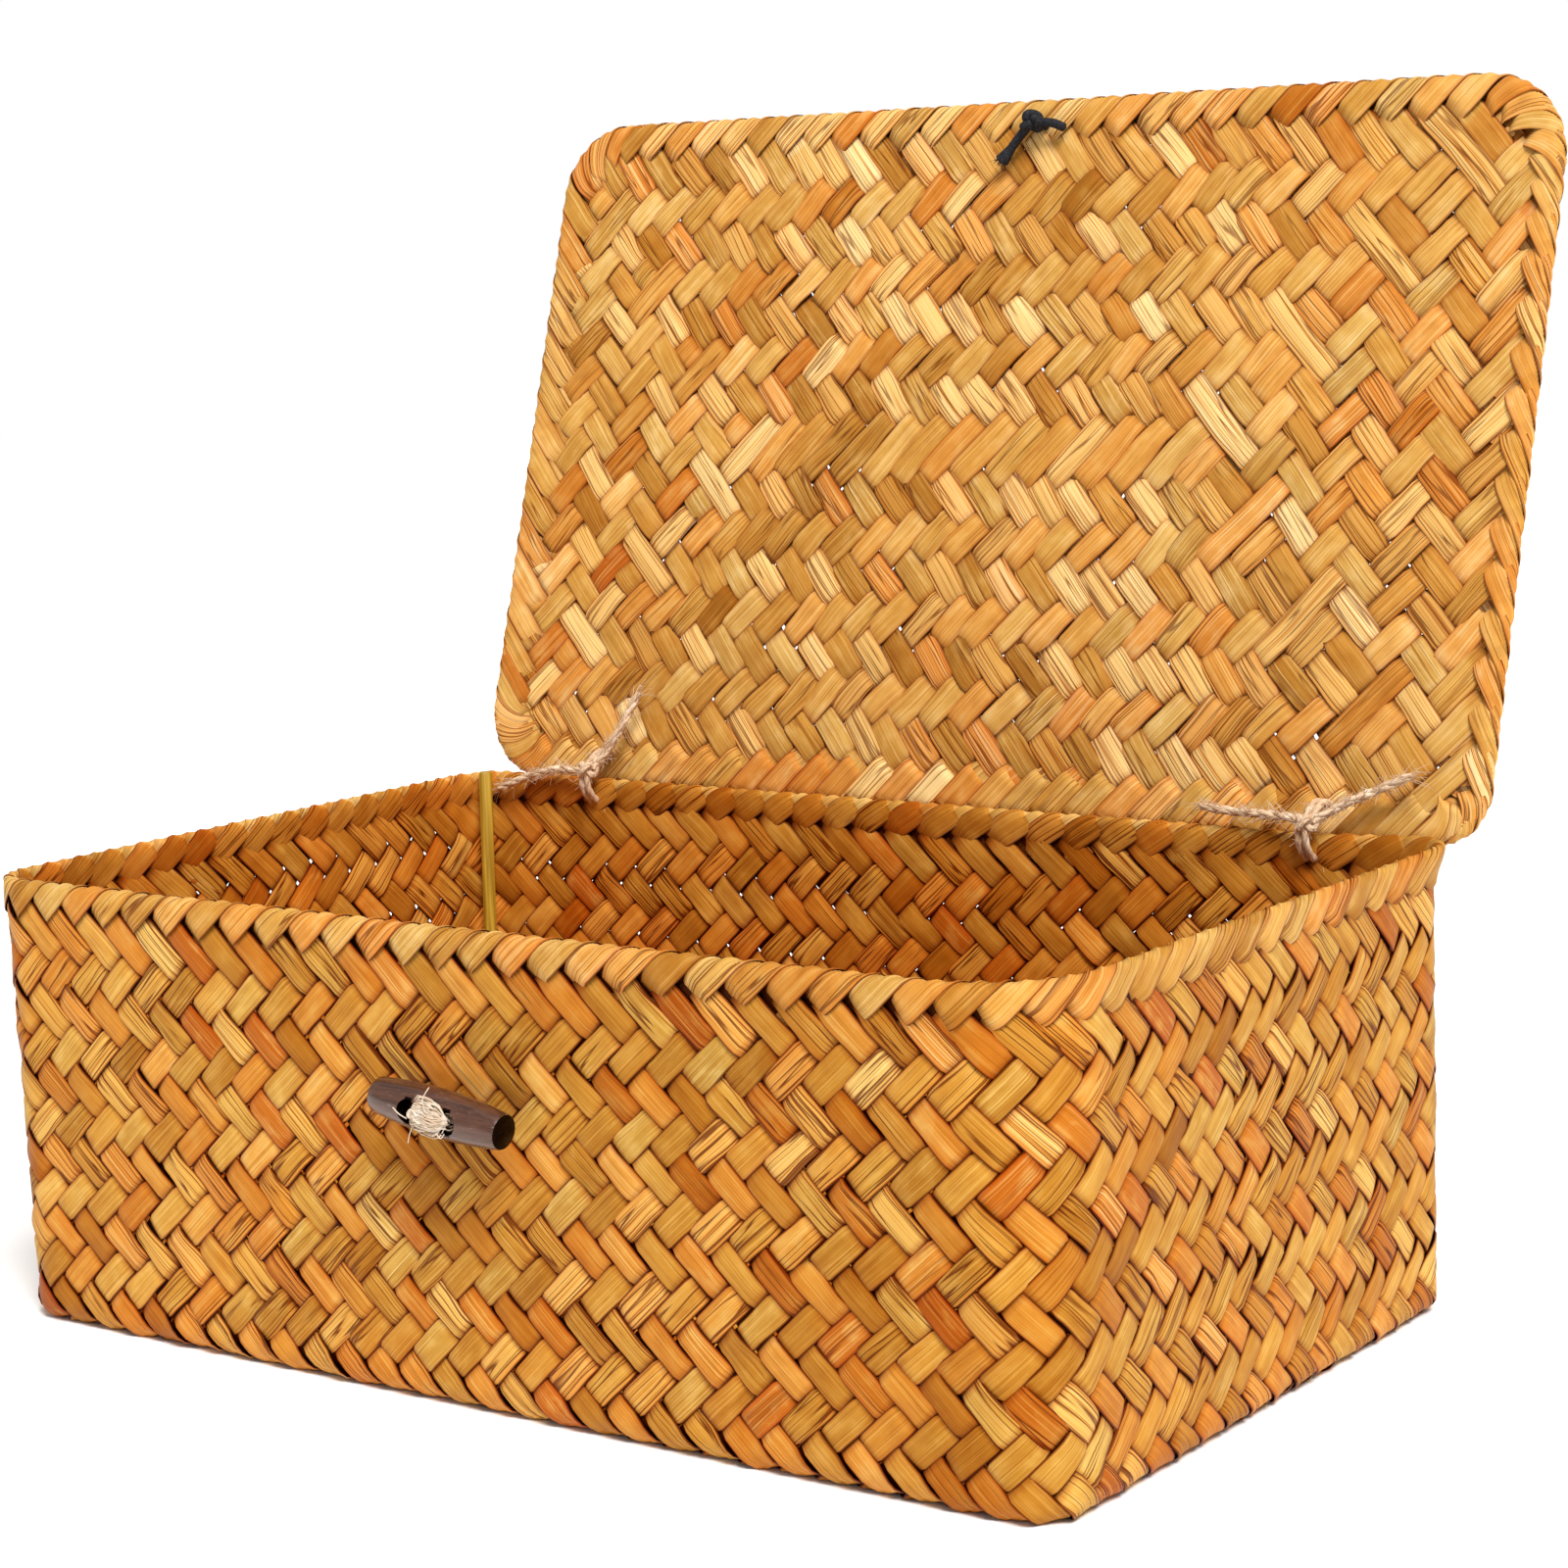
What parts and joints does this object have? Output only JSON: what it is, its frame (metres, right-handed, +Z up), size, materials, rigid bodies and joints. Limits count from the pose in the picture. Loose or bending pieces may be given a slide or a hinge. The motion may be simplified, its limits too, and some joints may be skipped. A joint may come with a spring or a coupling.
{
  "type": "woven storage box with hinged lid",
  "caption": "Rectangular woven seagrass desk box with a twine-hinged lid, a wooden toggle and a cord loop to close it.",
  "frame": {"origin": "centre of the flat underside of the base, where the box rests", "axes": "+X to the right along the longest side, seen from the toggle's side; +Y to the rear, towards the hinge; +Z up"},
  "size_m": [0.266, 0.2242, 0.2501],
  "materials": {
    "seagrass_weave": "plaited flat seagrass strips, amber with straw and olive ones, satin",
    "seagrass_border": "seagrass strips folded over the edge, amber, satin",
    "reed": "olive-yellow round reed, satin",
    "dark_wood": "dark stained wood, satin, nearly black ends",
    "jute_twine": "hairy two-ply jute twine, pale tan",
    "black_cord": "black braided cord, matt"
  },
  "bodies": {
    "box": {"woven_shell": "seagrass_weave", "rim_fold": "seagrass_border", "corner_post_front_left": "reed", "corner_post_front_right": "reed", "corner_post_rear_right": "reed", "corner_post_rear_left": "reed", "hinge_tie_left": "jute_twine", "hinge_tie_right": "jute_twine", "hinge_knot_left": "jute_twine", "hinge_knot_right": "jute_twine", "hinge_tail_left_low": "jute_twine", "hinge_tail_left_high": "jute_twine", "hinge_tail_right_low": "jute_twine", "hinge_tail_right_high": "jute_twine"},
    "lid": {"lid_panel": "seagrass_weave", "lid_fold": "seagrass_border", "closure_knot": "black_cord", "closure_end_left": "black_cord", "closure_end_right": "black_cord"},
    "closure_loop": {"closure_loop": "black_cord"},
    "toggle_cord": {"toggle_twine": "jute_twine", "toggle_twine_knot": "jute_twine"},
    "toggle": {"toggle": "dark_wood"}
  },
  "joints": [
    {"name": "lid_hinge", "type": "hinge", "parent": "box", "child": "lid", "pos_m": [0, 0.0805, 0.0954], "axis": [1, 0, 0], "range_deg": [0, 106.3], "deforming": ["hinge_knot_left", "hinge_knot_right", "hinge_tail_left_low", "hinge_tail_left_high", "hinge_tail_right_low", "hinge_tail_right_high"]},
    {"name": "loop_swing", "type": "hinge", "parent": "lid", "child": "closure_loop", "pos_m": [0, 0.12949, 0.24225], "axis": [1, 0, 0], "range_deg": [-14, 143]},
    {"name": "toggle_swivel", "type": "hinge", "parent": "box", "child": "toggle_cord", "pos_m": [0.0016, -0.0865, 0.0615], "axis": [0, -1, 0], "range_deg": [-83, 97]},
    {"name": "toggle_rock", "type": "hinge", "parent": "toggle_cord", "child": "toggle", "pos_m": [0.0016, -0.0865, 0.0615], "axis": [0.1219, 0, 0.9925], "range_deg": [-6, 6]}
  ]
}
